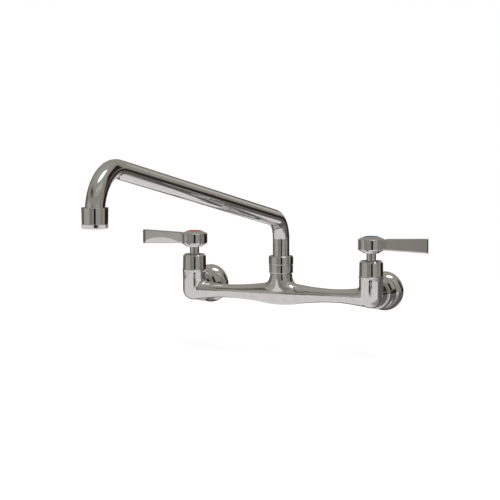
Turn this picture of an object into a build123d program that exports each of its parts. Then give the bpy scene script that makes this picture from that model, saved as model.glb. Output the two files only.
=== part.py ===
"""Wall-mounted mixing faucet with two lever valves and a long swing spout, 8 in between the inlets.

Frame: millimetres, +Z up, +X to the right as seen from the front, +Y into the wall. The origin is
the point midway between the two inlet axes on the finished wall. Hot is the left side (-X).
"""
from build123d import *
from math import cos, radians, sin, tan
import os

# ---------------------------------------------------------------- overall
valve_spacing = 203.2  # between the two valve axes, and between the two inlets
valve_standoff = 43.0  # finished wall to the plane of the valves and the spout axis
spout_reach = 406.4  # spout axis to outlet axis
spout_slope = 10.48  # rise of the straight arm, degrees
arm_corner_z = 75.1  # where the centre lines of the riser and the arm meet
thread_clearance = 0.1  # radial, between the plain cylinders that stand for mating threads
running_clearance = 0.05  # radial, between turning fits and between seals and their bores

# ---------------------------------------------------------------- mixing body
bar_drop = 3.0  # bar axis below the inlet axes
bar_waist = ((0, 12.1), (14, 11.4), (25, 9.8), (36, 8.5), (57, 7.2))  # from the middle, and radius
bar_swell = ((27.6, 7.7), (13.6, 9.3))  # back from the valve axis, and radius
bar_end_radius = 11.0  # at the valve axis
bar_blend = 4.0  # hollow curve where the bar meets a chamber
chamber_foot_radius = 12.45
chamber_radius = 12.65  # the foot is a little smaller, as the casting's draft asks
chamber_bottom_z = -14.0
chamber_corner = 11.0
chamber_collar_z = 16.6
chamber_collar_rise = 0.9  # height of the sloped step under the collar
chamber_collar_radius = 13.1
chamber_top_z = 18.9
chamber_edge = 0.5
bonnet_neck_radius = 10.6
bonnet_neck_height = 6.1
post_radius = 11.8
post_top_z = 17.9
flare_radius = 12.0  # hollow curve from the post into the bar
flare_top_z = 17.2
flare_angles = (0, 22, 40, 56, 70)  # along that curve, from the post downwards
flare_skirt = ((26.0, 2.5), (28.0, -3.0))  # half length and height of the flare inside the bar
swivel_neck_radius = 11.1
swivel_neck_height = 8.5
boss_radius = 14.6
boss_root_radius = 12.8
boss_length = 12.6  # valve axis to the end of the boss
boss_land = 3.5
boss_edge = 0.8
boss_blend = 3.0
spigot_radius = 13.6
spigot_length = 8.5

# waterways
inlet_bore_radius = 6.0
inlet_bore_run = 0.8  # of the inlet bore into the water space of the chamber
spigot_bore_radius = 8.5
spigot_bore_depth = 9.0
spigot_bore_taper = 2.5
bar_bore_radius = 3.6
bar_bore_drop = 5.2
valve_pocket_radius = 4.6
valve_pocket_bottom_z = -9.6
seat_z = -1.0
water_gap = 0.9  # round the barrel of the cartridge
guide_bore_z = 15.0  # bottom of the close bore that centres the cartridge
guide_clearance = 0.1
post_pocket_radius = 5.0
socket_radius = 10.0
socket_floor_z = 3.0

# ---------------------------------------------------------------- inlet unions
union_washer_thickness = 2.0
coupling_collar_radius = 13.4
coupling_collar_length = 4.0
coupling_neck_radius = 12.2
coupling_bore_radius = 8.0
pipe_thread_radius = 9.2  # bore of the half-inch tapered pipe thread
pipe_thread_depth = 14.0
coupling_nut_radius = 17.2
coupling_nut_nose_radius = 16.2
coupling_nut_nose_length = 5.0
coupling_nut_round = 1.2
coupling_nut_web = 4.6
coupling_nut_gap = 0.3  # in front of the nut, and behind it to the flange
flange_radius = 20.6
flange_rim = 2.4
flange_nose_radius = 16.6
flange_bulge = 1.2  # how far the dome stands out from a straight cone
flange_shell = 1.7
flange_hub_length = 6.0
flange_grip = 0.1  # radial clearance of the flange's hub on the coupling

# ---------------------------------------------------------------- valve cartridges
barrel_radius = 8.7
cavity_radius = 7.1
cavity_top_z = 14.0
housing_flange_radius = 10.4
housing_flange_thickness = 2.5
housing_neck_radius = 7.6
housing_neck_top_z = 34.9
window_count = 4
window_width = 5.0
window_height = 2.8
housing_ring_wire = 0.8
housing_ring_z = 20.0
ring_groove_play = 0.15  # along the axis, each side of a ring
seal_thickness = 1.6
seal_inner_radius = 4.8
seal_outer_radius = 7.9
disc_radius = 7.0
disc_thickness = 2.8
disc_port_inner = 1.8
disc_port_outer = 5.8
disc_port_angle = 78.0
disc_key_width = 2.4
disc_key_depth = 1.0
spindle_radius = 5.0
spindle_foot_radius = 6.8
spindle_foot_thickness = 1.6
spindle_waist_radius = 4.0
thrust_washer_thickness = 1.5
spindle_ring_wire = 0.75
spindle_ring_heights = (22.0, 27.5)
spindle_tip_radius = 4.2
spindle_tip_length = 8.2
spindle_flat = 3.4  # distance of the drive flats from the axis
spindle_screw_depth = 7.5
bonnet_radius = 12.25
bonnet_foot_radius = 12.55
bonnet_top_z = 35.5
bonnet_chamfer = 1.7
bonnet_gap = 0.2  # above the chamber

# ---------------------------------------------------------------- lever handles
hub_radius = 13.9
hub_bottom_z = 43.4
hub_foot_radius = 8.0
hub_skirt_z = 47.0  # where the underside cone meets the lobes
hub_shoulder_z = 57.8
hub_top_z = 60.5
hub_top_radius = 7.9
hub_skirt_round = 1.2
hub_shoulder_round = 1.0
lobe_count = 6
flute_radius = 1.5
flute_depth = 1.6
flute_lip = 1.4
tip_fit = 0.05
screw_web = 2.0
screw_head_radius = 4.0
screw_head_height = 2.4
screw_radius = 2.0
screw_length = 8.4
screw_hole_play = 0.2
screw_pocket_radius = 4.7
hex_socket = 2.3
hex_socket_depth = 1.4
index_radius = 7.0
index_thickness = 1.7
index_proud = 0.4
index_edge = 0.3
index_skirt_wall = 0.8
index_skirt_length = 1.4
index_fit = 0.1
lever_sections = ((11.0, 10.0, 8.0), (17.0, 11.9, 5.6), (61.6, 15.2, 4.4))  # reach, height, thickness
lever_centre_z = 52.65
lever_corner = 1.1
lever_end_round = 0.7

# ---------------------------------------------------------------- spout
tube_radius = 8.75
tube_wall = 1.25
riser_bend = 24.0  # centre-line radii of the bends
outlet_bend = 37.0
base_bore_radius = 7.0
base_seat = 0.3  # above the floor of the socket
tube_insert_z = 14.0
base_collar_radius = 10.8
base_collar_height = 2.5
base_ring_wire = 0.9
base_ring_heights = (6.6, 11.0)
swivel_washer_thickness = 1.0
friction_ring_thickness = 1.5
friction_ring_split = 1.2
swivel_nut_radius = 12.95
swivel_nut_lower_radius = 12.65
swivel_nut_bottom_z = 19.1
swivel_nut_band_z = 27.7
swivel_nut_band_width = 0.5
swivel_nut_band_depth = 0.5
swivel_nut_top_z = 37.0
swivel_nut_chamfer = 0.6
swivel_nut_play = 0.3  # round the tube and the friction ring
housing_rise = 5.5  # top of the housing above the end of the outlet bend
housing_height = 18.2
aerator_top_radius = 11.7
aerator_radius = 11.35  # just above the lip
aerator_wall = 1.3
aerator_lip_radius = 11.5
aerator_lip_height = 4.0
aerator_lip_round = 1.3
aerator_floor = 1.2
aerator_mouth_radius = 8.4
outlet_tube_end = 8.0  # tube end above the bottom edge of the housing
bushing_height = 4.4
aerator_washer_thickness = 1.6
aerator_washer_bore_radius = 7.4
insert_wall = 1.3
insert_grid_thickness = 1.2
insert_hole_radius = 1.0
insert_hole_circles = (0.0, 3.2, 6.3)
screen_thickness = 0.6
screen_hole_radius = 0.8
screen_hole_circles = (0.0, 2.6, 5.2)
hole_counts = (1, 6, 12)  # on the circles of either, from the middle
part_play = 0.1  # radial, between stacked pieces inside the outlet and the swivel

# ---------------------------------------------------------------- worked out from the sizes above
valve_x = valve_spacing / 2
valve_y = -valve_standoff
spout_y = valve_y - spout_reach
bonnet_neck_top_z = chamber_top_z + bonnet_neck_height
housing_flange_top_z = bonnet_neck_top_z + housing_flange_thickness
barrel_bottom_z = seat_z + seal_thickness
fixed_disc_top_z = barrel_bottom_z + disc_thickness
moving_disc_top_z = fixed_disc_top_z + disc_thickness
foot_top_z = moving_disc_top_z + spindle_foot_thickness
thrust_z = cavity_top_z - thrust_washer_thickness
boss_end = valve_standoff - boss_length  # distances in front of the wall
spigot_end = boss_end - spigot_length
washer_back = spigot_end - union_washer_thickness
collar_back = washer_back - coupling_collar_length
nut_front = boss_end - coupling_nut_gap
nut_back = collar_back - coupling_nut_web
flange_depth = nut_back - coupling_nut_gap
spindle_tip_z = hub_bottom_z + spindle_tip_length
socket_top_z = spindle_tip_z + tip_fit
screw_seat_z = socket_top_z + screw_web
index_bottom_z = hub_top_z + index_proud - index_thickness
swivel_neck_top_z = post_top_z + swivel_neck_height
base_collar_z = swivel_neck_top_z + swivel_washer_thickness
base_top_z = base_collar_z + base_collar_height
nut_shoulder_z = base_top_z + friction_ring_thickness
base_radius = socket_radius - running_clearance
riser_turn = 90 - spout_slope
outlet_turn = 90 + spout_slope
riser_setback = riser_bend * tan(radians(riser_turn / 2))
outlet_setback = outlet_bend * tan(radians(outlet_turn / 2))
outlet_bend_end_z = arm_corner_z + spout_reach * tan(radians(spout_slope)) - outlet_setback
outlet_top_z = outlet_bend_end_z + housing_rise
outlet_bottom_z = outlet_top_z - housing_height
aerator_lip_z = outlet_bottom_z + aerator_lip_height
tube_end_z = outlet_bottom_z + outlet_tube_end
aerator_bore_radius = aerator_radius - aerator_wall
aerator_floor_z = outlet_bottom_z + aerator_floor
insert_top_z = tube_end_z - aerator_washer_thickness


# ---------------------------------------------------------------- helpers
def turned(corners):
    """Solid turned about Z from (radius, height) corners; a third value rounds that corner."""
    outline = make_face(Polyline(*[corner[:2] for corner in corners], close=True))
    for corner in corners:
        if len(corner) == 3:
            nearest = outline.vertices().sort_by_distance((corner[0], corner[1], 0))[0]
            outline = fillet(nearest, corner[2])
    return revolve(Plane.XZ * outline, Axis.Z)


def rod(radius, bottom, top):
    """Plain cylinder about Z between two heights."""
    return Pos(0, 0, bottom) * Cylinder(radius, top - bottom, align=(Align.CENTER, Align.CENTER, Align.MIN))


def ring(inner, outer, bottom, top):
    """Plain ring about Z between two heights."""
    return rod(outer, bottom, top) - rod(inner, bottom, top)


def o_rings(wire, outer, heights):
    """Rubber rings of round section about Z, by their outer radius."""
    rings = [Pos(0, 0, height) * Torus(outer - wire, wire) for height in heights]
    return rings[0] if len(rings) == 1 else Compound(children=rings)


def grooves(wire, outer, heights):
    """Square grooves about Z that the rings lie in."""
    half = wire + ring_groove_play
    return [ring(outer - 2 * wire, outer + wire, height - half, height + half) for height in heights]


def hole_circles(circles, radius, bottom, top):
    """Small holes on circles about Z."""
    places = []
    for reach, count in zip(circles, hole_counts):
        places.extend(Rot(Z=360 * i / count) * Pos(reach, 0, 0) for i in range(count))
    return [place * rod(radius, bottom, top) for place in places]


def on_valve(side, solid):
    """Moves a solid made about Z to the valve on one side: -1 hot, +1 cold."""
    return Pos(side * valve_x, valve_y, 0) * solid


def on_inlet(side, solid):
    """Lays a solid made about Z on an inlet axis; heights become distances before the wall."""
    return Pos(side * valve_x, 0, 0) * Rot(X=90) * solid


# ---------------------------------------------------------------- mixing body
def bar():
    """Waisted bar between the chambers, turned about its own axis."""
    swell = [(valve_x - back, radius) for back, radius in bar_swell]
    right = [*bar_waist, *swell, (valve_x, bar_end_radius)]
    left = [(-x, radius) for x, radius in reversed(right[1:])]
    profile = Spline(*left, *right)
    closing = Polyline((valve_x, bar_end_radius), (valve_x, 0), (-valve_x, 0), (-valve_x, bar_end_radius))
    return Rot(X=-90) * revolve(make_face([profile, *closing.edges()]), Axis.X)


def bar_and_chambers():
    """The bar with a chamber at each end, and the hollow curves between them."""
    solid = Pos(0, valve_y, -bar_drop) * bar()
    for side in (-1, 1):
        solid += on_valve(side, Rot(Z=90 - 90 * side) * chamber())
    inner = valve_x - chamber_radius
    seams = [edge for edge in solid.edges() if is_seam(edge.bounding_box(), inner)]
    return fillet(seams, bar_blend)


def is_seam(box, inner):
    """True for an edge that runs up and down where the bar enters a chamber."""
    near = min(abs(box.min.X), abs(box.max.X))
    far = max(abs(box.min.X), abs(box.max.X))
    rise = box.max.Z - box.min.Z
    upright = rise > bar_end_radius / 2 and box.max.Z < chamber_collar_z
    return upright and inner - bar_blend < near and far < valve_x


def centre_post():
    """Round post and its hollow-curved flare into the bar, lofted through stretched sections."""
    stations = [(post_radius, post_top_z)]
    for angle in flare_angles:
        reach = post_radius + flare_radius * (1 - cos(radians(angle)))
        stations.append((reach, flare_top_z - flare_radius * sin(radians(angle))))
    stations.extend(flare_skirt)
    sections = [Pos(0, 0, height) * Ellipse(reach, post_radius) for reach, height in stations]
    return loft(sections)


def chamber():
    """Upright valve chamber with a rounded foot, a collar and a threaded neck."""
    return turned([
        (0, chamber_bottom_z),
        (chamber_foot_radius, chamber_bottom_z, chamber_corner),
        (chamber_radius, chamber_collar_z),
        (chamber_collar_radius, chamber_collar_z + chamber_collar_rise),
        (chamber_collar_radius, chamber_top_z, chamber_edge),
        (bonnet_neck_radius, chamber_top_z),
        (bonnet_neck_radius, bonnet_neck_top_z),
        (0, bonnet_neck_top_z),
    ])


def inlet_boss():
    """Boss towards the wall, ending in the threaded spigot of the union."""
    return turned([
        (0, spigot_end),
        (spigot_radius, spigot_end),
        (spigot_radius, boss_end),
        (boss_radius, boss_end, boss_edge),
        (boss_radius, boss_end + boss_land, boss_blend),
        (boss_root_radius, valve_standoff),
        (0, valve_standoff),
    ])


def valve_waterway():
    """Stepped bore of a chamber: pocket, seat, wide water space and close guide bore."""
    guide_radius = barrel_radius + guide_clearance
    return turned([
        (0, valve_pocket_bottom_z),
        (valve_pocket_radius, valve_pocket_bottom_z),
        (valve_pocket_radius, seat_z),
        (barrel_radius + water_gap, seat_z),
        (barrel_radius + water_gap, guide_bore_z),
        (guide_radius, guide_bore_z),
        (guide_radius, bonnet_neck_top_z),
        (0, bonnet_neck_top_z),
    ])


def inlet_waterway():
    """Bore of a boss, wider in the spigot."""
    step = spigot_end + spigot_bore_depth
    end = valve_standoff - barrel_radius - water_gap + inlet_bore_run
    return turned([
        (0, spigot_end),
        (spigot_bore_radius, spigot_end),
        (spigot_bore_radius, step),
        (inlet_bore_radius, step + spigot_bore_taper),
        (inlet_bore_radius, end),
        (0, end),
    ])


def post_waterway():
    """Socket of the spout base and the pocket that joins it to the bore of the bar."""
    return rod(post_pocket_radius, -bar_bore_drop, socket_floor_z) + rod(
        socket_radius, socket_floor_z, swivel_neck_top_z)


def mixing_body():
    """One casting: chambers, bosses, bar and post, bored for the water."""
    outer = bar_and_chambers() + Pos(0, valve_y, 0) * centre_post()
    outer += Pos(0, valve_y, 0) * rod(swivel_neck_radius, -bar_drop, swivel_neck_top_z)
    for side in (-1, 1):
        outer += on_inlet(side, inlet_boss())
    outer -= Pos(0, valve_y, 0) * post_waterway()
    outer -= Pos(0, valve_y, -bar_bore_drop) * Rot(Y=90) * Cylinder(bar_bore_radius, valve_spacing)
    for side in (-1, 1):
        outer -= on_valve(side, valve_waterway())
        outer -= on_inlet(side, inlet_waterway())
    return outer


# ---------------------------------------------------------------- inlet unions
def inlet_coupling():
    """Tailpiece with a female pipe thread at the wall and a collar held by the union nut."""
    return turned([
        (pipe_thread_radius, 0),
        (coupling_neck_radius, 0),
        (coupling_neck_radius, collar_back),
        (coupling_collar_radius, collar_back),
        (coupling_collar_radius, washer_back),
        (coupling_bore_radius, washer_back),
        (coupling_bore_radius, pipe_thread_depth),
        (pipe_thread_radius, pipe_thread_depth),
    ])


def coupling_nut():
    """Smooth round union nut, narrower towards the body."""
    return turned([
        (coupling_neck_radius + thread_clearance, nut_back),
        (coupling_nut_radius, nut_back, coupling_nut_round),
        (coupling_nut_radius, nut_front - coupling_nut_nose_length, coupling_nut_nose_length / 2),
        (coupling_nut_nose_radius, nut_front, coupling_nut_round),
        (spigot_radius + thread_clearance, nut_front),
        (spigot_radius + thread_clearance, collar_back),
        (coupling_neck_radius + thread_clearance, collar_back),
    ])


def wall_flange():
    """Domed shell over the coupling, with a short hub that grips it."""
    bore = coupling_neck_radius + flange_grip
    hub = bore + flange_shell
    face = flange_depth - flange_shell
    rim_inner = flange_radius - flange_shell
    nose_inner = flange_nose_radius - flange_shell / 2
    rim_edge = (flange_radius, flange_rim)
    nose_edge = (flange_nose_radius, flange_depth)
    dome = SagittaArc(rim_edge, nose_edge, -flange_bulge)
    hollow = SagittaArc((rim_inner, flange_rim), (nose_inner, face), -flange_bulge)
    nose = Polyline(nose_edge, (bore, flange_depth), (bore, flange_depth - flange_hub_length),
                    (hub, flange_depth - flange_hub_length), (hub, face), (nose_inner, face))
    rim = Polyline((rim_inner, flange_rim), (rim_inner, 0), (flange_radius, 0), rim_edge)
    outline = make_face([dome, hollow, *nose.edges(), *rim.edges()])
    return revolve(Plane.XZ * outline, Axis.Z)


# ---------------------------------------------------------------- valve cartridges
def disc_ports(bottom, top, start):
    """Two opposite sector-shaped water ports, centred on the given direction."""
    slot = Plane.XZ * make_face(Polyline(
        (disc_port_inner, bottom), (disc_port_outer, bottom), (disc_port_outer, top), (disc_port_inner, top),
        close=True))
    port = Rot(Z=start - disc_port_angle / 2) * revolve(slot, Axis.Z, disc_port_angle)
    return [port, Rot(Z=180) * port]


def disc_key(width, height):
    """Bar across the discs that turns the moving one, in the direction between its ports."""
    return Pos(0, 0, moving_disc_top_z) * Box(
        width, 2 * spindle_foot_radius, height, align=(Align.CENTER, Align.CENTER, Align.MAX))


def cartridge_housing():
    """Bored housing with side windows low down, a clamping flange and a neck for the seals."""
    bore = spindle_radius + running_clearance
    solid = turned([
        (cavity_radius, barrel_bottom_z),
        (barrel_radius, barrel_bottom_z),
        (barrel_radius, bonnet_neck_top_z),
        (housing_flange_radius, bonnet_neck_top_z),
        (housing_flange_radius, housing_flange_top_z),
        (housing_neck_radius, housing_flange_top_z),
        (housing_neck_radius, housing_neck_top_z),
        (bore, housing_neck_top_z),
        (bore, cavity_top_z),
        (cavity_radius, cavity_top_z),
    ])
    window = Pos((cavity_radius + barrel_radius) / 2, 0, foot_top_z + window_height / 2) * Box(
        2 * (barrel_radius - cavity_radius), window_width, window_height)
    for i in range(window_count):
        solid -= Rot(Z=360 * i / window_count) * window
    for groove in grooves(housing_ring_wire, barrel_radius + guide_clearance, (housing_ring_z,)):
        solid -= groove
    return solid


def fixed_disc():
    """Lower ceramic disc, its ports front and back."""
    return rod(disc_radius, barrel_bottom_z, fixed_disc_top_z) - disc_ports(
        barrel_bottom_z, fixed_disc_top_z, 90)


def moving_disc():
    """Upper ceramic disc, its ports a quarter turn from the lower ones when shut."""
    solid = rod(disc_radius, fixed_disc_top_z, moving_disc_top_z)
    solid -= disc_ports(fixed_disc_top_z, moving_disc_top_z, 0)
    return solid - disc_key(disc_key_width + 2 * tip_fit, disc_key_depth + tip_fit)


def flats(radius, distance, bottom, top):
    """Round tip with two drive flats."""
    depth = top - bottom
    flat = Box(2 * radius, 2 * distance, depth, align=(Align.CENTER, Align.CENTER, Align.MIN))
    return rod(radius, bottom, top) & Pos(0, 0, bottom) * flat


def spindle():
    """Spindle with a ported foot, thrust collar, seal grooves and a flatted, tapped tip."""
    solid = turned([
        (0, moving_disc_top_z),
        (spindle_foot_radius, moving_disc_top_z),
        (spindle_foot_radius, foot_top_z),
        (spindle_waist_radius, foot_top_z),
        (spindle_waist_radius, foot_top_z + window_height),
        (spindle_foot_radius, foot_top_z + window_height),
        (spindle_foot_radius, thrust_z),
        (spindle_radius, thrust_z),
        (spindle_radius, hub_bottom_z),
        (0, hub_bottom_z),
    ])
    solid += flats(spindle_tip_radius, spindle_flat, hub_bottom_z, spindle_tip_z)
    for port in disc_ports(moving_disc_top_z, foot_top_z, 0):
        solid -= port - rod(spindle_waist_radius, moving_disc_top_z, foot_top_z)
    solid += disc_key(disc_key_width, disc_key_depth) & rod(
        spindle_foot_radius, moving_disc_top_z - disc_key_depth, moving_disc_top_z)
    for groove in grooves(spindle_ring_wire, spindle_radius, spindle_ring_heights):
        solid -= groove
    return solid - rod(screw_radius + thread_clearance, spindle_tip_z - spindle_screw_depth, spindle_tip_z)


def bonnet_nut():
    """Round nut with a chamfered top that clamps the cartridge's flange."""
    return chamfer_top(turned([
        (bonnet_neck_radius + thread_clearance, chamber_top_z + bonnet_gap),
        (bonnet_foot_radius, chamber_top_z + bonnet_gap),
        (bonnet_radius, bonnet_top_z),
        (housing_neck_radius + thread_clearance, bonnet_top_z),
        (housing_neck_radius + thread_clearance, housing_flange_top_z),
        (bonnet_neck_radius + thread_clearance, housing_flange_top_z),
    ]), bonnet_chamfer)


def chamfer_top(solid, size):
    """Chamfers the outer edge of the top face."""
    top = solid.faces().sort_by(Axis.Z)[-1]
    rim = top.edges().sort_by(lambda edge: edge.length)[-1]
    return chamfer(rim, size)


# ---------------------------------------------------------------- lever handles
def lobed_hub():
    """Six-lobed hub: a turned shape crossed with a fluted one whose edges are rolled over."""
    shape = turned([
        (0, hub_bottom_z),
        (hub_foot_radius, hub_bottom_z),
        (hub_radius, hub_skirt_z, hub_skirt_round),
        (hub_radius, hub_shoulder_z, hub_shoulder_round),
        (hub_top_radius, hub_top_z),
        (0, hub_top_z),
    ])
    section = Circle(hub_radius)
    for i in range(lobe_count):
        turn = 360 * (i + 0.5) / lobe_count
        section -= Rot(Z=turn) * Pos(hub_radius + flute_radius - flute_depth, 0) * Circle(flute_radius)
    section = fillet(section.vertices(), flute_lip)
    return shape & Pos(0, 0, hub_bottom_z) * extrude(section, hub_top_z - hub_bottom_z)


def lever_blade():
    """Tall thin blade that grows in height towards its squared end."""
    sections = []
    for reach, height, width in lever_sections:
        plane = Plane(origin=(reach, 0, lever_centre_z), x_dir=(0, 1, 0), z_dir=(1, 0, 0))
        sections.append(plane * RectangleRounded(width, height, lever_corner))
    blade = loft(sections, ruled=True)
    end = blade.faces().sort_by(Axis.X)[-1]
    return fillet(end.edges(), lever_end_round)


def lever(side):
    """Hub and blade in one piece, with the spindle socket and the recess of the index button."""
    solid = lobed_hub() + lever_blade()
    solid -= flats(spindle_tip_radius + tip_fit, spindle_flat + tip_fit, hub_bottom_z, socket_top_z)
    solid -= rod(screw_radius + screw_hole_play, socket_top_z, screw_seat_z)
    solid -= rod(screw_pocket_radius, screw_seat_z, index_bottom_z)
    solid -= rod(index_radius + index_fit, index_bottom_z, hub_top_z)
    return Rot(Z=90 - 90 * side) * solid


def handle_screw():
    """Cap screw with a hexagon socket."""
    head_top = screw_seat_z + screw_head_height
    socket = Pos(0, 0, head_top - hex_socket_depth) * extrude(RegularPolygon(hex_socket, 6), hex_socket_depth)
    return rod(screw_head_radius, screw_seat_z, head_top) + rod(
        screw_radius, screw_seat_z - screw_length, screw_seat_z) - socket


def index_button():
    """Snap-in coloured button with a short skirt."""
    outer = screw_pocket_radius - index_fit
    top = index_bottom_z + index_thickness
    skirt_z = index_bottom_z - index_skirt_length
    return turned([
        (0, index_bottom_z),
        (outer - index_skirt_wall, index_bottom_z),
        (outer - index_skirt_wall, skirt_z),
        (outer, skirt_z),
        (outer, index_bottom_z),
        (index_radius, index_bottom_z),
        (index_radius, top, index_edge),
        (0, top),
    ])


# ---------------------------------------------------------------- spout
def spout_path():
    """Centre line of the tube in the plane of the arm: x towards the wall, y up."""
    arm = spout_reach / cos(radians(spout_slope)) - riser_setback - outlet_setback
    riser = Line((0, tube_insert_z), (0, arm_corner_z - riser_setback))
    lower = JernArc(riser @ 1, (0, 1), riser_bend, riser_turn)
    straight = PolarLine(lower @ 1, arm, 180 - spout_slope)
    upper = JernArc(straight @ 1, straight % 1, outlet_bend, outlet_turn)
    drop = Line(upper @ 1, (-spout_reach, tube_end_z))
    return Pos(0, valve_y, 0) * (Plane.YZ * Wire([riser, lower, straight, upper, drop]))


def spout_tube():
    """Bent tube: riser, rising straight arm and a rounded drop to the outlet."""
    path = spout_path()
    start = Plane(origin=(0, valve_y, tube_insert_z), x_dir=(1, 0, 0), z_dir=(0, 0, 1))
    return sweep(start * (Circle(tube_radius) - Circle(tube_radius - tube_wall)), path)


def spout_base():
    """Sleeve that turns in the post, with seal grooves, a thrust collar and the tube's seat."""
    solid = turned([
        (base_bore_radius, socket_floor_z + base_seat),
        (base_radius, socket_floor_z + base_seat),
        (base_radius, base_collar_z),
        (base_collar_radius, base_collar_z),
        (base_collar_radius, base_top_z),
        (tube_radius, base_top_z),
        (tube_radius, tube_insert_z),
        (base_bore_radius, tube_insert_z),
    ])
    for groove in grooves(base_ring_wire, base_radius, base_ring_heights):
        solid -= groove
    return solid


def swivel_nut():
    """Round nut of two bands over the post's neck, holding the spout's collar down."""
    thread = swivel_neck_radius + thread_clearance
    hole = tube_radius + swivel_nut_play
    band_top = swivel_nut_band_z + swivel_nut_band_width
    groove = swivel_nut_lower_radius - swivel_nut_band_depth
    solid = turned([
        (thread, swivel_nut_bottom_z),
        (swivel_nut_lower_radius, swivel_nut_bottom_z),
        (swivel_nut_lower_radius, swivel_nut_band_z),
        (groove, swivel_nut_band_z),
        (groove, band_top),
        (swivel_nut_radius, band_top),
        (swivel_nut_radius, swivel_nut_top_z),
        (hole, swivel_nut_top_z),
        (hole, nut_shoulder_z),
        (thread, nut_shoulder_z),
    ])
    return chamfer_top(solid, swivel_nut_chamfer)


def friction_ring():
    """Split ring between the spout's collar and the nut."""
    inner = tube_radius + swivel_nut_play
    outer = swivel_neck_radius - part_play
    gap = Pos(0, outer, (base_top_z + nut_shoulder_z) / 2) * Box(
        friction_ring_split, outer, 2 * friction_ring_thickness)
    return ring(inner, outer, base_top_z, nut_shoulder_z) - gap


# ---------------------------------------------------------------- outlet
def aerator_housing():
    """Round housing that narrows a little towards a rounded lip."""
    return turned([
        (aerator_bore_radius, outlet_top_z),
        (aerator_bore_radius, aerator_floor_z),
        (aerator_mouth_radius, aerator_floor_z),
        (aerator_mouth_radius, outlet_bottom_z),
        (aerator_lip_radius, outlet_bottom_z, aerator_lip_round),
        (aerator_lip_radius, aerator_lip_z),
        (aerator_radius, aerator_lip_z),
        (aerator_top_radius, outlet_top_z),
    ])


def aerator_insert():
    """Cup with a perforated top plate."""
    outer = aerator_bore_radius - part_play
    solid = rod(outer, aerator_floor_z, insert_top_z)
    solid -= rod(outer - insert_wall, aerator_floor_z, insert_top_z - insert_grid_thickness)
    return solid - hole_circles(insert_hole_circles, insert_hole_radius, aerator_floor_z, insert_top_z)


def aerator_screen():
    """Perforated disc at the mouth, inside the cup."""
    top = aerator_floor_z + screen_thickness
    plate = rod(aerator_bore_radius - part_play - insert_wall, aerator_floor_z, top)
    return plate - hole_circles(screen_hole_circles, screen_hole_radius, aerator_floor_z, top)


# ---------------------------------------------------------------- the nodes
nodes = {"mixing_body": mixing_body()}
for name, side in (("hot", -1), ("cold", 1)):
    nodes[f"{name}_inlet_coupling"] = on_inlet(side, inlet_coupling())
    nodes[f"{name}_inlet_washer"] = on_inlet(
        side, ring(spigot_bore_radius, coupling_collar_radius, washer_back, spigot_end))
    nodes[f"{name}_coupling_nut"] = on_inlet(side, coupling_nut())
    nodes[f"{name}_wall_flange"] = on_inlet(side, wall_flange())
    nodes[f"{name}_cartridge_housing"] = on_valve(side, cartridge_housing())
    nodes[f"{name}_housing_oring"] = on_valve(
        side, o_rings(housing_ring_wire, barrel_radius + guide_clearance, (housing_ring_z,)))
    nodes[f"{name}_seat_seal"] = on_valve(
        side, ring(seal_inner_radius, seal_outer_radius, seat_z, barrel_bottom_z))
    nodes[f"{name}_fixed_disc"] = on_valve(side, fixed_disc())
    nodes[f"{name}_moving_disc"] = on_valve(side, moving_disc())
    nodes[f"{name}_spindle"] = on_valve(side, spindle())
    nodes[f"{name}_spindle_orings"] = on_valve(
        side, o_rings(spindle_ring_wire, spindle_radius, spindle_ring_heights))
    nodes[f"{name}_thrust_washer"] = on_valve(
        side, ring(spindle_radius, spindle_foot_radius, thrust_z, cavity_top_z))
    nodes[f"{name}_bonnet_nut"] = on_valve(side, bonnet_nut())
    nodes[f"{name}_lever"] = on_valve(side, lever(side))
    nodes[f"{name}_handle_screw"] = on_valve(side, handle_screw())
    nodes[f"{name}_index_button"] = on_valve(side, index_button())

at_post = Pos(0, valve_y, 0)
at_outlet = Pos(0, spout_y, 0)
nodes["spout_tube"] = spout_tube()
nodes["spout_base"] = at_post * spout_base()
nodes["spout_orings"] = at_post * o_rings(base_ring_wire, base_radius, base_ring_heights)
nodes["swivel_washer"] = at_post * ring(
    socket_radius, swivel_neck_radius - part_play, swivel_neck_top_z, base_collar_z)
nodes["friction_ring"] = at_post * friction_ring()
nodes["swivel_nut"] = at_post * swivel_nut()
nodes["outlet_bushing"] = at_outlet * ring(
    tube_radius, aerator_bore_radius - thread_clearance, tube_end_z, tube_end_z + bushing_height)
nodes["aerator_housing"] = at_outlet * aerator_housing()
nodes["aerator_washer"] = at_outlet * ring(
    aerator_washer_bore_radius, aerator_bore_radius - part_play, insert_top_z, tube_end_z)
nodes["aerator_insert"] = at_outlet * aerator_insert()
nodes["aerator_screen"] = at_outlet * aerator_screen()

os.makedirs("parts", exist_ok=True)
for name, solid in nodes.items():
    export_step(solid, f"parts/{name}.step")
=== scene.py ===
"""Looks of the wall faucet: materials, stage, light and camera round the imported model."""
import math

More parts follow.
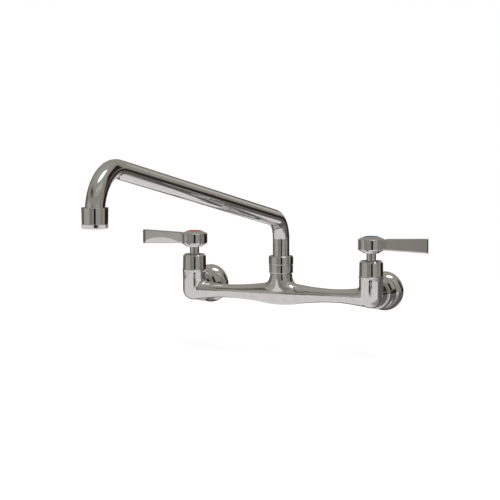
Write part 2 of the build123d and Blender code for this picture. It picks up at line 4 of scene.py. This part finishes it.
import bpy
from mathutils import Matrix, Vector


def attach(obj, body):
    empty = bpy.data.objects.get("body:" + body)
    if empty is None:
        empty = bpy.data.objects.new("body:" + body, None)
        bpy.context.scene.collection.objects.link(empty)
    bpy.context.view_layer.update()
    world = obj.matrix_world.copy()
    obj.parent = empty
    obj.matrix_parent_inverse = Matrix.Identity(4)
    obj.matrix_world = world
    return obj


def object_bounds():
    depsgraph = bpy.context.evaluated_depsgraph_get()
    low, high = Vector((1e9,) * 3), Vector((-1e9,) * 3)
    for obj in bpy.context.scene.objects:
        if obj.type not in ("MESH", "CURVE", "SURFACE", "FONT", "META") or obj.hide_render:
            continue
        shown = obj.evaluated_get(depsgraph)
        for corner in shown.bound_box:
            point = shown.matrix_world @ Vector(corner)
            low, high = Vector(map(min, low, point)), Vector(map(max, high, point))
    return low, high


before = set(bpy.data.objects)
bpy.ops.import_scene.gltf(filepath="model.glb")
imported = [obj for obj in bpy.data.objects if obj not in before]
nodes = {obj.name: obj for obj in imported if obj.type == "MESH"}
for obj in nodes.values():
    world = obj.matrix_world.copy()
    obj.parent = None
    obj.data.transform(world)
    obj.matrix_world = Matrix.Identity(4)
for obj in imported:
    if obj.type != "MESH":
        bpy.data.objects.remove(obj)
cad_low, cad_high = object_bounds()

# Camera: the photograph's viewing angle. The lens and the width of the sensor are in millimetres
CAMERA_AZIMUTH = math.radians(24.08)
CAMERA_ELEVATION = math.radians(4.8745)
CAMERA_DISTANCE = 1.9921
CAMERA_TARGET = Vector((-0.0360, -0.043, 0.04184))
CAMERA_LENS = 134.57
CAMERA_SENSOR = 36.0
CAMERA_CLIP = (0.1, 50.0)

# Pipe thread in the inlet couplings
THREAD_ROOT = 0.00922
THREAD_HEIGHT = 0.00062
THREAD_PITCH = 0.001814
THREAD_START, THREAD_END = 0.0012, 0.0126  # in front of the wall
THREAD_HALF_WIDTH = 0.42  # at its root, as a share of the pitch
THREAD_STEPS = 48  # in a turn
INLET_X = 0.1016  # from the middle to the axis of an inlet

# Stage
WHITE = (1.0, 1.0, 1.0)
AMBIENT = (0.78, 0.78, 0.78)  # even light from all round on what isn't metal
FLOOR_Z = -0.066
FLOOR_RADIUS = 0.85
FLOOR_SIDES = 96
FLOOR_CENTRE = Vector((0.0, -0.043, FLOOR_Z))
FLOOR_PAINT, FLOOR_GRAIN = (0.80, 0.80, 0.80), (0.78, 0.78, 0.78)
FLOOR_LIFT = 0.42  # its own light towards the camera, which brings it to the white of the background

# The floor as the metal shows it: a glow with painted light, painted shade and a painted shadow
FLOOR_LIT = (0.88, 0.85, 0.85)  # painted light, in front and under the spout
FLOOR_PAINTED_SHADE = (0.38, 0.365, 0.36)  # painted shade, at its right end
FLOOR_PAINTED_SHADOW = (0.15, 0.14, 0.135)  # painted shadow, behind the faucet
# Soft edges of these parts, in metres from the floor's centre: (none here, full here)
DIM_X, DIM_Y = (0.10, 0.14), (-0.07, -0.03)
SHADOW_Y = (0.105, 0.125)  # painted shadow over the whole width
SHADOW_NEAR_Y = (0.020, 0.040)  # and from here on, apart from a lit strip under the arm
STRIP_MIDDLE, STRIP_EDGE = -0.045, (0.042, 0.056)
LIT_FAR_Y, LIT_FAR_X = (0.145, 0.175), (0.16, 0.12)  # lit again far behind the middle
# Painted shade in it, dark bands that run on towards the camera: (left edge, right edge, start, colour). The
# edges are measured to the camera's right of the floor's centre, and the start in front of it
FLOOR_SHADE_BANDS = (
    (-0.155, -0.020, 0.58, (0.015, 0.015, 0.015)),
    (-0.020, 0.045, 0.60, (0.42, 0.40, 0.38)),
    (0.045, 0.170, 0.66, (0.02, 0.02, 0.02)),
    (-0.205, -0.155, 0.60, (0.02, 0.02, 0.02)),
)
BAND_SOFT_SIDE, BAND_SOFT_START = 0.01, 0.04


# ---------------------------------------------------------------- node helpers

class Tree:
    """A node tree with short calls to add and join nodes."""

    def __init__(self, tree):
        self.tree = tree
        self.nodes = tree.nodes
        self.nodes.clear()

    def add(self, kind, **values):
        node = self.nodes.new(kind)
        for key, value in values.items():
            setattr(node, key, value)
        return node

    def put(self, socket, value):
        """Joins value to the socket where it is an output, and else writes it there."""
        if isinstance(value, bpy.types.NodeSocket):
            self.tree.links.new(value, socket)
        else:
            socket.default_value = value

    def math(self, operation, a, b=0.0):
        node = self.add("ShaderNodeMath", operation=operation)
        self.put(node.inputs[0], a)
        self.put(node.inputs[1], b)
        return node.outputs[0]

    def smooth(self, value, low, high):
        """0 at low, 1 at high, with a soft step between. It falls where low is the greater."""
        node = self.add("ShaderNodeMapRange", interpolation_type="SMOOTHSTEP")
        self.put(node.inputs["Value"], value)
        node.inputs["From Min"].default_value = low
        node.inputs["From Max"].default_value = high
        return node.outputs[0]

    def spread(self, value, low, high, to_low, to_high):
        node = self.add("ShaderNodeMapRange")
        self.put(node.inputs["Value"], value)
        for name, number in zip(("From Min", "From Max", "To Min", "To Max"), (low, high, to_low, to_high)):
            node.inputs[name].default_value = number
        return node.outputs[0]

    def mix(self, share, a, b):
        node = self.add("ShaderNodeMix", data_type="RGBA")
        self.put(node.inputs[0], share)
        self.put(node.inputs[6], rgba(a))
        self.put(node.inputs[7], rgba(b))
        return node.outputs[2]

    def noise(self, where, scale, detail=2.0, roughness=0.5, stretch=None):
        if stretch:
            mapping = self.add("ShaderNodeMapping")
            self.put(mapping.inputs["Vector"], where)
            mapping.inputs["Scale"].default_value = stretch
            where = mapping.outputs[0]
        node = self.add("ShaderNodeTexNoise")
        self.put(node.inputs["Vector"], where)
        node.inputs["Scale"].default_value = scale
        node.inputs["Detail"].default_value = detail
        node.inputs["Roughness"].default_value = roughness
        return node.outputs[0]

    def split(self, vector):
        node = self.add("ShaderNodeSeparateXYZ")
        self.put(node.inputs[0], vector)
        return node.outputs

    def turned(self, x, y):
        """A place or direction as its parts towards the camera and to the camera's right."""
        cosine, sine = math.cos(CAMERA_AZIMUTH), math.sin(CAMERA_AZIMUTH)
        front = self.math("SUBTRACT", self.math("MULTIPLY", x, sine), self.math("MULTIPLY", y, cosine))
        right = self.math("ADD", self.math("MULTIPLY", x, cosine), self.math("MULTIPLY", y, sine))
        return front, right

    def slope(self, along, start, steepness):
        """Height that falls off evenly below a start."""
        below = self.math("MINIMUM", self.math("SUBTRACT", along, start), 0.0)
        return self.math("MULTIPLY", below, steepness)

    def band(self, along, start, end, steepness):
        """Height that rises evenly between two places and is level outside them."""
        inside = self.math("MINIMUM", self.math("MAXIMUM", along, start), end)
        return self.math("MULTIPLY", self.math("SUBTRACT", inside, start), steepness)

    def crown(self, where, middle, radius):
        """Height of a surface rounded about a line at the given height."""
        off = self.math("SUBTRACT", self.split(where)[2], middle)
        return self.math("MULTIPLY", self.math("MULTIPLY", off, off), -0.5 / radius)

    def both(self, a, b):
        """The part that two shares have in common."""
        return self.math("MULTIPLY", a, b)

    def direct(self, path):
        """1 for rays from the camera, also through glass, and 0 for all others."""
        return self.math("MAXIMUM", path.outputs["Is Camera Ray"], path.outputs["Is Transmission Ray"])

    def soft_edge(self, radius):
        """The surface's direction, with its sharp edges rolled over as polishing leaves them."""
        node = self.add("ShaderNodeBevel", samples=EDGE_SAMPLES)
        node.inputs["Radius"].default_value = radius
        return node.outputs[0]

    def bump(self, height, distance, normal=None):
        node = self.add("ShaderNodeBump")
        node.inputs["Distance"].default_value = distance
        self.put(node.inputs["Height"], height)
        if normal is not None:
            self.put(node.inputs["Normal"], normal)
        return node.outputs[0]


def rgba(colour):
    """A colour of three numbers gets its fourth; a socket stays as it is."""
    if isinstance(colour, bpy.types.NodeSocket):
        return colour
    return (*colour, 1.0)


def new_material(name):
    material = bpy.data.materials.new(name)
    material.use_nodes = True
    tree = Tree(material.node_tree)
    surface = tree.add("ShaderNodeBsdfPrincipled")
    output = tree.add("ShaderNodeOutputMaterial")
    tree.put(output.inputs["Surface"], surface.outputs[0])
    where = tree.add("ShaderNodeTexCoord").outputs["Object"]
    return material, tree, surface, where


# ---------------------------------------------------------------- materials

CHROME_TINT = (0.66, 0.655, 0.64)
CHROME_HAZE = tuple(c * 0.93 for c in CHROME_TINT)
MARK_DEPTH = 0.0000015  # of the polishing marks
EDGE_ROLL = 0.0005  # radius that polishing leaves on the plated edges
EDGE_SAMPLES = 6

# Forms that only the shading of the metal shows
CHAMBER_X = (0.060, 0.070)  # distance from the middle where a chamber's part of the casting starts
COLLAR_FOOT, COLLAR_TOP = 0.0172, 0.0189
COLLAR_LEAN = 0.25
HUB_SKIRT = 0.0470  # where the hub's lobes end
HUB_EDGE, HUB_FADE = 0.1155, 0.002
HUB_CURL = -1.1
BLADE_HEIGHT = 0.05265
BLADE_MIDDLE = -0.140  # along the hot lever's blade
BLADE_FROM_X = (-0.1125, -0.1215)  # where it leaves the hub
BLADE_CROWN_RISE, BLADE_CROWN_RADIUS = 0.0021, 0.06
BLADE_TURN = -170.0
BEVEL_LENGTH, BEVEL_SLOPE = 0.0032, 1.0
LIP_HEIGHT, LIP_DRAW = 0.004, 0.2


def chrome(name, wave, wave_scale, rough=(0.035, 0.07), form=None):
    """Polished chrome plate: faint haze, fine polishing marks and the slow waves of the metal under it.

    A form, where there is one, gives the height of a slow bend or bevel that the plate follows.
    """
    material, tree, surface, where = new_material(name)
    haze = tree.noise(where, 120.0, detail=4.0, roughness=0.6)
    tree.put(surface.inputs["Base Color"], tree.mix(tree.smooth(haze, 0.35, 0.7), CHROME_TINT, CHROME_HAZE))
    marks = tree.noise(where, 900.0, detail=2.0, stretch=(1.0, 1.0, 0.25))
    tree.put(surface.inputs["Roughness"], tree.spread(marks, 0.3, 0.7, *rough))
    flank = tree.soft_edge(EDGE_ROLL)
    if form:
        flank = tree.bump(form(tree, where), 1.0, normal=flank)
    waves = tree.bump(tree.noise(where, wave_scale, detail=1.0), wave, normal=flank)
    tree.put(surface.inputs["Normal"], tree.bump(marks, MARK_DEPTH, normal=waves))
    surface.inputs["Metallic"].default_value = 1.0
    return material


def brass(name, colour, shade):
    """Turned brass, left unplated: fine tool rings and a little tarnish."""
    material, tree, surface, where = new_material(name)
    tarnish = tree.noise(where, 220.0, detail=4.0, roughness=0.65)
    tree.put(surface.inputs["Base Color"], tree.mix(tree.smooth(tarnish, 0.4, 0.75), colour, shade))
    rings = tree.noise(where, 300.0, detail=2.0, stretch=(0.05, 0.05, 9.0))
    tree.put(surface.inputs["Roughness"], tree.spread(rings, 0.3, 0.7, 0.22, 0.38))
    tree.put(surface.inputs["Normal"], tree.bump(rings, 0.000012))
    surface.inputs["Metallic"].default_value = 1.0
    return material


def steel(name):
    """Stainless steel with a fine drawn grain."""
    material, tree, surface, where = new_material(name)
    grain = tree.noise(where, 1400.0, detail=3.0, stretch=(1.0, 0.08, 1.0))
    light, dark = (0.62, 0.61, 0.60), (0.50, 0.50, 0.49)
    tree.put(surface.inputs["Base Color"], tree.mix(tree.smooth(grain, 0.3, 0.7), light, dark))
    tree.put(surface.inputs["Roughness"], tree.spread(grain, 0.3, 0.7, 0.24, 0.42))
    tree.put(surface.inputs["Normal"], tree.bump(grain, 0.000008))
    surface.inputs["Metallic"].default_value = 1.0
    return material


def moulded(name, colour, shade, rough, grain_scale, grain_depth):
    """Rubber, nylon, ceramic or enamel: colour that drifts a little, over a fine surface grain."""
    material, tree, surface, where = new_material(name)
    drift = tree.noise(where, 260.0, detail=3.0, roughness=0.6)
    tree.put(surface.inputs["Base Color"], tree.mix(tree.smooth(drift, 0.35, 0.7), colour, shade))
    grain = tree.noise(where, grain_scale, detail=3.0, roughness=0.6)
    tree.put(surface.inputs["Roughness"], tree.spread(grain, 0.3, 0.7, *rough))
    tree.put(surface.inputs["Normal"], tree.bump(grain, grain_depth))
    return material


def collar_form(tree, where):
    """The casting: the collar round the top of each valve chamber leans outwards."""
    x, _, z = tree.split(where)
    chamber = tree.smooth(tree.math("ABSOLUTE", x), *CHAMBER_X)
    return tree.both(tree.band(z, COLLAR_FOOT, COLLAR_TOP, COLLAR_LEAN), chamber)


def skirt_form(tree, where):
    """A lever's hub: its underside curls up towards the lobes."""
    x, _, z = tree.split(where)
    hub = tree.smooth(tree.math("ABSOLUTE", x), HUB_EDGE + HUB_FADE, HUB_EDGE)
    return tree.both(tree.slope(z, HUB_SKIRT, HUB_CURL), hub)


def blade_form(tree, where):
    """The hot lever: a crowned blade that turns down along its middle, its bevelled end, and the hub."""
    x, _, z = tree.split(where)
    off = tree.math("SUBTRACT", x, BLADE_MIDDLE)
    rise = tree.math("SUBTRACT", z, BLADE_HEIGHT)
    turn = tree.math("MULTIPLY", tree.math("MULTIPLY", off, off), tree.math("MULTIPLY", rise, BLADE_TURN))
    flank = tree.math("ADD", tree.crown(where, BLADE_HEIGHT + BLADE_CROWN_RISE, BLADE_CROWN_RADIUS), turn)
    flank = tree.both(flank, tree.smooth(x, *BLADE_FROM_X))
    blade = tree.math("ADD", flank, tree.slope(x, cad_low[0] + BEVEL_LENGTH, BEVEL_SLOPE))
    return tree.math("ADD", blade, skirt_form(tree, where))


def lip_form(tree, where):
    """The outlet housing: its lip draws in towards the mouth."""
    low = min(corner[2] for corner in nodes["aerator_housing"].bound_box)
    return tree.slope(tree.split(where)[2], low + LIP_HEIGHT, LIP_DRAW)


CAST_CHROME = chrome("cast_chrome", wave=0.00022, wave_scale=55.0, form=collar_form)
TUBE_CHROME = chrome("tube_chrome", wave=0.00010, wave_scale=70.0)
TURNED_CHROME = chrome("turned_chrome", wave=0.000012, wave_scale=90.0, rough=(0.03, 0.06))
LEVER_CHROME = chrome("lever_chrome", wave=0.00004, wave_scale=40.0, form=skirt_form)
CROWNED_CHROME = chrome("crowned_chrome", wave=0.00016, wave_scale=40.0, form=blade_form)
LIPPED_CHROME = chrome("lipped_chrome", wave=0.000012, wave_scale=90.0, rough=(0.03, 0.06), form=lip_form)
BRASS = brass("turned_brass", (0.74, 0.55, 0.27), (0.50, 0.34, 0.15))
# A darker copy of the brass for the cartridge housing: painted shade for its place inside the bonnet, where
# the hubs' undersides show it
SHADED_BRASS = brass("shaded_brass", (0.24, 0.20, 0.14), (0.16, 0.13, 0.09))
STEEL = steel("stainless_steel")
RUBBER = moulded("nitrile_rubber", (0.035, 0.035, 0.036), (0.06, 0.06, 0.06), (0.55, 0.8), 1800.0, 0.00001)
CERAMIC = moulded("lapped_alumina", (0.86, 0.85, 0.81), (0.80, 0.79, 0.75), (0.12, 0.22), 2600.0, 0.000002)
NYLON = moulded("moulded_nylon", (0.85, 0.84, 0.79), (0.78, 0.77, 0.72), (0.38, 0.55), 1500.0, 0.000006)
RED = moulded("red_enamel", (0.60, 0.045, 0.05), (0.50, 0.03, 0.04), (0.18, 0.32), 1200.0, 0.000005)
BLUE = moulded("blue_enamel", (0.10, 0.13, 0.42), (0.07, 0.09, 0.33), (0.18, 0.32), 1200.0, 0.000005)

FINISH = {
    "mixing_body": CAST_CHROME,
    "inlet_coupling": BRASS,
    "inlet_washer": RUBBER,
    "coupling_nut": TURNED_CHROME,
    "wall_flange": TURNED_CHROME,
    # the darker brass, painted shade inside the bonnet
    "cartridge_housing": SHADED_BRASS,
    "housing_oring": RUBBER,
    "seat_seal": RUBBER,
    "fixed_disc": CERAMIC,
    "moving_disc": CERAMIC,
    "bonnet_nut": TURNED_CHROME,
    "spindle": TURNED_CHROME,
    "thrust_washer": NYLON,
    "spindle_orings": RUBBER,
    "hot_lever": CROWNED_CHROME,
    "cold_lever": LEVER_CHROME,
    "handle_screw": STEEL,
    "hot_index_button": RED,
    "cold_index_button": BLUE,
    "swivel_nut": TURNED_CHROME,
    "swivel_washer": NYLON,
    "friction_ring": NYLON,
    "spout_tube": TUBE_CHROME,
    "spout_base": BRASS,
    "spout_orings": RUBBER,
    "outlet_bushing": BRASS,
    "aerator_housing": LIPPED_CHROME,
    "aerator_washer": RUBBER,
    "aerator_insert": NYLON,
    "aerator_screen": STEEL,
}


def dress_nodes():
    """Gives each CAD node its finish. The hot and cold sides share one name after the first word."""
    for name, node in nodes.items():
        finish = FINISH.get(name) or FINISH[name.split("_", 1)[1]]
        node.material_slots[0].material = finish


# ---------------------------------------------------------------- fine detail

def add_piece(name, mesh, body, material):
    """A new piece that rides on a CAD body."""
    piece = bpy.data.objects.new(name, mesh)
    bpy.context.scene.collection.objects.link(piece)
    mesh.materials.append(material)
    mesh.shade_smooth()
    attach(piece, body)
    return piece


def pipe_thread(name, centre_x):
    """The thread cut in an inlet coupling: a ridge that winds inwards from its mouth."""
    count = int(THREAD_STEPS * (THREAD_END - THREAD_START) / THREAD_PITCH)
    half = THREAD_HALF_WIDTH * THREAD_PITCH
    points, faces = [], []
    for i in range(count + 1):
        turn = 2 * math.pi * i / THREAD_STEPS
        depth = THREAD_START + (THREAD_END - THREAD_START) * i / count
        height = THREAD_HEIGHT * min(1.0, i / THREAD_STEPS, (count - i) / THREAD_STEPS)
        for side, rise in ((-half, 0.0), (-half / 5, height), (half / 5, height), (half, 0.0)):
            reach = THREAD_ROOT - rise
            points.append((centre_x + reach * math.cos(turn), -depth - side, reach * math.sin(turn)))
        if i:
            new, old = 4 * i, 4 * (i - 1)
            faces.extend((old + k, old + (k + 1) % 4, new + (k + 1) % 4, new + k) for k in range(4))
    faces.extend(((3, 2, 1, 0), (4 * count, 4 * count + 1, 4 * count + 2, 4 * count + 3)))
    mesh = bpy.data.meshes.new(name)
    mesh.from_pydata(points, [], faces)
    mesh.validate()
    thread = add_piece(name, mesh, "body", BRASS)


# ---------------------------------------------------------------- stage, light and camera

def toward(azimuth, elevation):
    """The unit vector of a direction given in degrees from the camera's side, positive to its right."""
    turn = CAMERA_AZIMUTH + math.radians(azimuth)
    rise = math.radians(elevation)
    return Vector((math.sin(turn) * math.cos(rise), -math.cos(turn) * math.cos(rise), math.sin(rise)))


# The grey room that the chrome shows, and the elevations in degrees between which one grey turns to the next
ROOM_LOW = (0.36, 0.345, 0.32)
ROOM_MID = (0.37, 0.36, 0.31)
ROOM_HIGH = (0.45, 0.45, 0.42)
LOW_TO_MID, MID_TO_HIGH = (-10, 20), (30, 80)
# Lighter and darker fields in it: (azimuth from, to, elevation from, to, softness, colour), in degrees. The
# azimuth counts from the photograph's camera, positive to its right
ROOM_PATCHES = (
    (-168, -130, -22, 16, 6, (0.07, 0.07, 0.07)),
    (-126, -103, -22, 16, 4, (0.17, 0.165, 0.16)),
    (-100, -46, -22, 16, 6, (0.48, 0.465, 0.44)),
    (-42, -14, -22, 16, 6, (0.28, 0.27, 0.25)),
    (14, 50, -22, 16, 6, (0.42, 0.41, 0.38)),
    (54, 74, -22, 16, 6, (0.30, 0.29, 0.27)),
    (146, 157, 8, 18, 4, (0.60, 0.58, 0.56)),
    (-90, -42, 30, 44, 6, (0.13, 0.12, 0.11)),
    (-10, 60, 33, 52, 6, (0.58, 0.60, 0.57)),
    (-6, 56, 37, 39, 1.5, (0.25, 0.19, 0.15)),
    (92, 128, 6, 34, 5, (0.04, 0.022, 0.02)),
    (98, 170, -13, 4, 6, (0.03, 0.018, 0.014)),
    (-5, 11, -40, 5, 3, (0.006, 0.006, 0.006)),
    (-30, 110, 66, 86, 6, (2.2, 2.2, 2.2)),
    (164, 190, 3, 13, 2, (0.03, 0.03, 0.03)),
    (-190, -164, 3, 13, 2, (0.03, 0.03, 0.03)),
    (172, 188, -13, 2, 2, (1.0, 1.0, 1.0)),
    (-188, -172, -13, 2, 2, (1.0, 1.0, 1.0)),
)


def room_colour(tree):
    """The grey room round the faucet by direction, with its fields in the order of the list."""
    x, y, z = tree.split(tree.add("ShaderNodeTexCoord").outputs["Generated"])
    front, right = tree.turned(x, y)
    azimuth = tree.math("MULTIPLY", tree.math("ARCTAN2", right, front), 180 / math.pi)
    elevation = tree.math("MULTIPLY", tree.math("ARCSINE", z), 180 / math.pi)
    colour = tree.mix(tree.smooth(elevation, *LOW_TO_MID), ROOM_LOW, ROOM_MID)
    colour = tree.mix(tree.smooth(elevation, *MID_TO_HIGH), colour, ROOM_HIGH)
    for left, edge, low, high, soft, paint in ROOM_PATCHES:
        across = tree.both(
            tree.smooth(azimuth, left - soft / 2, left + soft / 2),
            tree.smooth(azimuth, edge + soft / 2, edge - soft / 2),
        )
        up = tree.both(
            tree.smooth(elevation, low - soft / 2, low + soft / 2),
            tree.smooth(elevation, high + soft / 2, high - soft / 2),
        )
        colour = tree.mix(tree.both(across, up), colour, paint)
    return colour


def make_world():
    """White to the camera, the grey room to the metal, and plain even light on everything."""
    world = bpy.data.worlds.new("studio")
    world.use_nodes = True
    tree = Tree(world.node_tree)
    path = tree.add("ShaderNodeLightPath")
    room = tree.add("ShaderNodeBackground")
    tree.put(room.inputs["Color"], room_colour(tree))
    ambient = tree.add("ShaderNodeBackground")
    ambient.inputs["Color"].default_value = rgba(AMBIENT)
    white = tree.add("ShaderNodeBackground")
    white.inputs["Color"].default_value = rgba(WHITE)
    shiny = tree.add("ShaderNodeMixShader")
    tree.put(shiny.inputs[0], path.outputs["Is Glossy Ray"])
    tree.put(shiny.inputs[1], ambient.outputs[0])
    tree.put(shiny.inputs[2], room.outputs[0])
    seen = tree.add("ShaderNodeMixShader")
    tree.put(seen.inputs[0], tree.direct(path))
    tree.put(seen.inputs[1], shiny.outputs[0])
    tree.put(seen.inputs[2], white.outputs[0])
    output = tree.add("ShaderNodeOutputWorld")
    tree.put(output.inputs["Surface"], seen.outputs[0])
    bpy.context.scene.world = world


def floor_colour(tree, where):
    """The floor as the metal shows it, a glow with painted light and shade: painted light in front, painted
    shade at the right, a painted shadow behind, and painted dark bands towards the camera.
    """
    x, y, _ = tree.split(where)
    # painted shade at the right end, over the painted light
    dim = tree.both(tree.smooth(x, *DIM_X), tree.smooth(y, *DIM_Y))
    colour = tree.mix(dim, FLOOR_LIT, FLOOR_PAINTED_SHADE)
    far = tree.both(tree.smooth(y, *LIT_FAR_Y), tree.smooth(tree.math("ABSOLUTE", x), *LIT_FAR_X))
    off_strip = tree.smooth(tree.math("ABSOLUTE", tree.math("SUBTRACT", x, STRIP_MIDDLE)), *STRIP_EDGE)
    close = tree.both(tree.smooth(y, *SHADOW_NEAR_Y), off_strip)
    # painted shadow behind the faucet, lifted again far behind and in the strip under the arm
    behind = tree.math("SUBTRACT", tree.math("MAXIMUM", tree.smooth(y, *SHADOW_Y), close), far)
    colour = tree.mix(behind, colour, FLOOR_PAINTED_SHADOW)
    front, right = tree.turned(x, y)
    # painted dark bands of shade
    for left, edge, start, paint in FLOOR_SHADE_BANDS:
        across = tree.both(
            tree.smooth(right, left - BAND_SOFT_SIDE, left + BAND_SOFT_SIDE),
            tree.smooth(right, edge + BAND_SOFT_SIDE, edge - BAND_SOFT_SIDE),
        )
        along = tree.smooth(front, start - BAND_SOFT_START, start + BAND_SOFT_START)
        colour = tree.mix(tree.both(across, along), colour, paint)
    return colour


def make_floor():
    """A pale round floor. It reads as the white background and keeps the faucet's shadow."""
    mesh = bpy.data.meshes.new("floor")
    turns = [2 * math.pi * i / FLOOR_SIDES for i in range(FLOOR_SIDES)]
    ring = [(FLOOR_RADIUS * math.cos(turn), FLOOR_RADIUS * math.sin(turn), 0.0) for turn in turns]
    mesh.from_pydata(ring, [], [range(FLOOR_SIDES)])
    floor = bpy.data.objects.new("floor", mesh)
    floor.location = FLOOR_CENTRE
    bpy.context.scene.collection.objects.link(floor)
    material, tree, surface, where = new_material("pale_floor")
    grain = tree.noise(where, 40.0, detail=3.0)
    tree.put(surface.inputs["Base Color"], tree.mix(grain, FLOOR_PAINT, FLOOR_GRAIN))
    surface.inputs["Roughness"].default_value = 1.0
    surface.inputs["Specular IOR Level"].default_value = 0.0
    path = tree.add("ShaderNodeLightPath")
    lift = tree.add("ShaderNodeEmission")
    tree.put(lift.inputs["Strength"], tree.math("MULTIPLY", tree.direct(path), FLOOR_LIFT))
    lifted = tree.add("ShaderNodeAddShader")
    tree.put(lifted.inputs[0], surface.outputs[0])
    tree.put(lifted.inputs[1], lift.outputs[0])
    # To the metal the floor is a glow of painted light, shade and shadow, not a lit surface
    mirrored = tree.add("ShaderNodeEmission")
    tree.put(mirrored.inputs["Color"], floor_colour(tree, where))
    chosen = tree.add("ShaderNodeMixShader")
    tree.put(chosen.inputs[0], path.outputs["Is Glossy Ray"])
    tree.put(chosen.inputs[1], lifted.outputs[0])
    tree.put(chosen.inputs[2], mirrored.outputs[0])
    output = next(n for n in tree.nodes if n.type == "OUTPUT_MATERIAL")
    tree.put(output.inputs["Surface"], chosen.outputs[0])
    mesh.materials.append(material)


def soft_box(name, azimuth, elevation, distance, width, height, radiance):
    """A rectangular lamp aimed at the faucet. Its light is that of a surface of the given radiance."""
    lamp = bpy.data.lights.new(name, "AREA")
    lamp.shape = "RECTANGLE"
    lamp.size, lamp.size_y = width, height
    lamp.energy = radiance * math.pi * width * height
    box = bpy.data.objects.new(name, lamp)
    away = toward(azimuth, elevation)
    box.location = CAMERA_TARGET + away * distance
    box.rotation_mode = "QUATERNION"
    box.rotation_quaternion = away.to_track_quat("Z", "Y")
    box.visible_glossy = False  # the metal shows the room instead
    bpy.context.scene.collection.objects.link(box)


def make_lights():
    soft_box("key_light", azimuth=26, elevation=48, distance=2.2, width=1.1, height=0.6, radiance=1.5)
    soft_box("top_light", azimuth=60, elevation=77, distance=2.4, width=0.10, height=0.10, radiance=60.0)


def make_camera():
    data = bpy.data.cameras.new("camera")
    data.lens = CAMERA_LENS
    data.sensor_width = CAMERA_SENSOR
    data.clip_start, data.clip_end = CAMERA_CLIP
    camera = bpy.data.objects.new("camera", data)
    back = toward(0, math.degrees(CAMERA_ELEVATION))
    camera.location = CAMERA_TARGET + back * CAMERA_DISTANCE
    camera.rotation_mode = "QUATERNION"
    camera.rotation_quaternion = back.to_track_quat("Z", "Y")
    bpy.context.scene.collection.objects.link(camera)
    bpy.context.scene.camera = camera


dress_nodes()
pipe_thread("hot_pipe_thread", -INLET_X)
pipe_thread("cold_pipe_thread", INLET_X)
make_world()
make_floor()
make_lights()
make_camera()
bpy.context.scene.view_settings.view_transform = "Standard"
